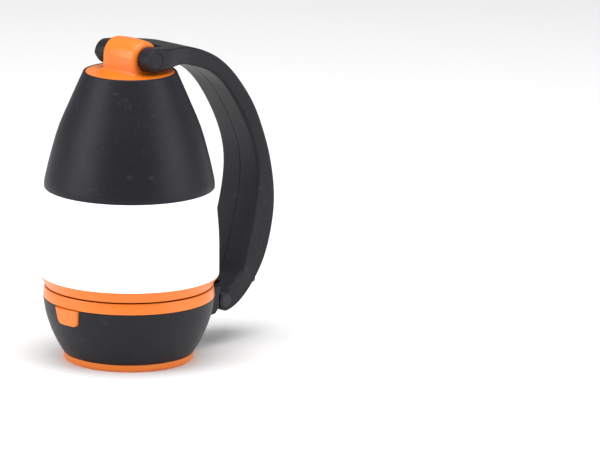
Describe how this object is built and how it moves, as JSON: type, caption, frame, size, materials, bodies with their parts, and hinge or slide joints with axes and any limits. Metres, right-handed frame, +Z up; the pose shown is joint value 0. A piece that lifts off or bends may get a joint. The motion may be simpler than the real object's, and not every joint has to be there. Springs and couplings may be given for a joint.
{
  "type": "camping lantern",
  "caption": "Round-bodied lantern with milky diffuser, torch lens underneath and a curved side handle that opens away from the base and carries the lamp head.",
  "frame": {"origin": "on the lamp axis, at the bottom face of the torch bezel that the closed lantern stands on", "axes": "+Z up along the lamp axis, +X towards the handle, +Y across it"},
  "size_m": [0.1309, 0.0884, 0.1595],
  "materials": {
    "orange_plastic": "satin moulded",
    "black_plastic": "fine matte texture",
    "clear_lens": "clear polished plastic",
    "rubber_seal": "matte",
    "chrome_reflector": "mirror metallised",
    "circuit_board": "white solder mask",
    "led_body": "smooth",
    "switch_grey": "moulded",
    "cell_wrap": "plain shrink wrap",
    "steel_parts": "zinc plated",
    "white_diffuser": "milky translucent, smooth",
    "white_plastic": "satin"
  },
  "bodies": {
    "base": {"bezel_ring": "orange_plastic", "lens_retainer": "black_plastic", "torch_lens": "clear_lens", "lens_seal": "rubber_seal", "torch_reflector": "chrome_reflector", "torch_led_board": "circuit_board", "torch_led": "led_body", "base_bowl": "black_plastic", "base_trim_ring": "orange_plastic", "battery_tray": "black_plastic", "battery_cells": "cell_wrap", "battery_contacts": "steel_parts", "battery_cover": "black_plastic", "battery_cover_screws": "steel_parts", "latch_spring": "steel_parts", "hinge_pin": "steel_parts"},
    "latch": {"latch_button": "orange_plastic"},
    "handle": {"handle_left_half": "black_plastic", "handle_right_half": "black_plastic", "handle_screws": "steel_parts", "pivot_pins": "steel_parts", "pivot_caps": "black_plastic", "switch_body": "switch_grey", "switch_board": "circuit_board"},
    "switch": {"switch_slider": "orange_plastic"},
    "head": {"head_cap": "orange_plastic", "cone_shell": "black_plastic", "upper_reflector": "white_plastic", "diffuser": "white_diffuser", "head_ring": "orange_plastic", "head_floor": "white_plastic", "lantern_led_board": "circuit_board", "lantern_leds": "led_body", "floor_screws": "steel_parts"}
  },
  "joints": [
    {"name": "handle_hinge", "type": "hinge", "parent": "base", "child": "handle", "pos_m": [0.0512, 0, 0.0222], "axis": [0, 1, 0], "range_deg": [0, 95]},
    {"name": "head_pivot", "type": "hinge", "parent": "handle", "child": "head", "pos_m": [0, 0, 0.1505], "axis": [0, 1, 0], "range_deg": [0, 150]},
    {"name": "release_button", "type": "slide", "parent": "base", "child": "latch", "axis": [1, 0, 0], "range_m": [0, 0.0015], "stiffness_N_per_m": 900, "springref_m": -0.002, "deforming": ["latch_spring"]},
    {"name": "mode_switch", "type": "slide", "parent": "handle", "child": "switch", "axis": [0.1908, 0, 0.9816], "range_m": [0, 0.0065]}
  ]
}
